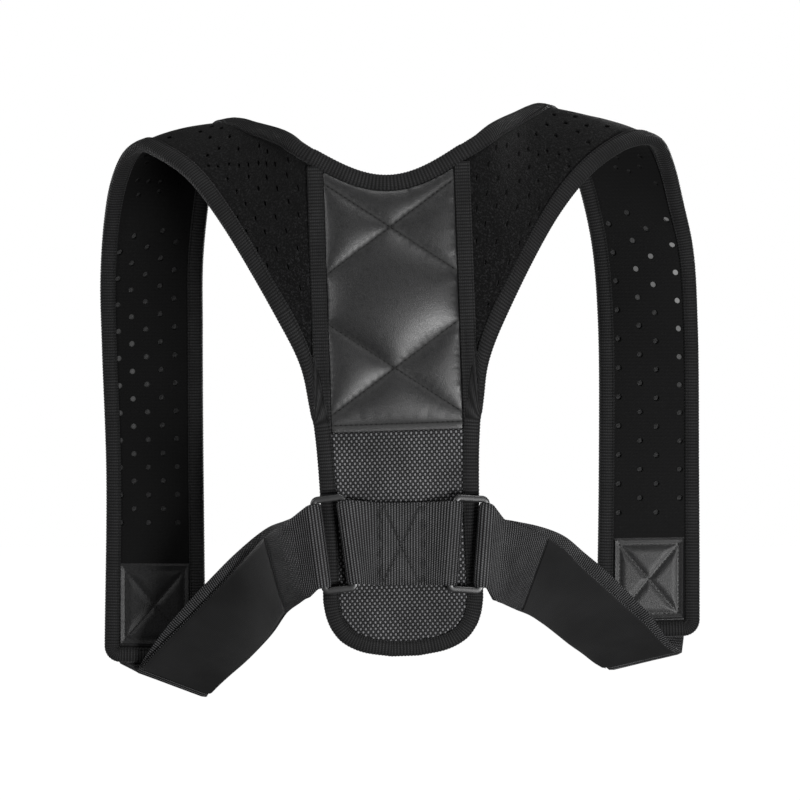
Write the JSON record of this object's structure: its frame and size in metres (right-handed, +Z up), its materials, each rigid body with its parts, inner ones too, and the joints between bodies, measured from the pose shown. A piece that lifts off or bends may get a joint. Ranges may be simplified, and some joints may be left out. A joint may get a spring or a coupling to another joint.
{
  "type": "back support brace",
  "caption": "Posture brace held as worn: perforated shoulder straps, quilted back panel, webbing side straps through rectangular rings.",
  "frame": {"origin": "midway between the undersides of the two shoulder crests, where the brace hangs on the wearer", "axes": "+Z up, +Y towards the wearer's chest, +X to the wearer's right side as seen from behind"},
  "size_m": [0.4067, 0.1662, 0.3957],
  "materials": {
    "laminate": "matte",
    "leather": "satin",
    "ballistic": "satin",
    "binding": "matte",
    "webbing": "satin",
    "hook": "matte",
    "plastic": "satin"
  },
  "bodies": {
    "root": {"spine_panel": "laminate", "leather_pad": "leather", "nylon_facing": "ballistic", "neck_binding": "binding", "arm_binding": "binding", "centre_web": "webbing", "left_shoulder_strap": "laminate", "left_seam_tape": "binding", "left_end_patch": "leather", "left_ring": "plastic", "left_side_strap": "webbing", "left_hook_tape": "hook", "right_shoulder_strap": "laminate", "right_seam_tape": "binding", "right_end_patch": "leather", "right_ring": "plastic", "right_side_strap": "webbing", "right_hook_tape": "hook"}
  },
  "joints": []
}
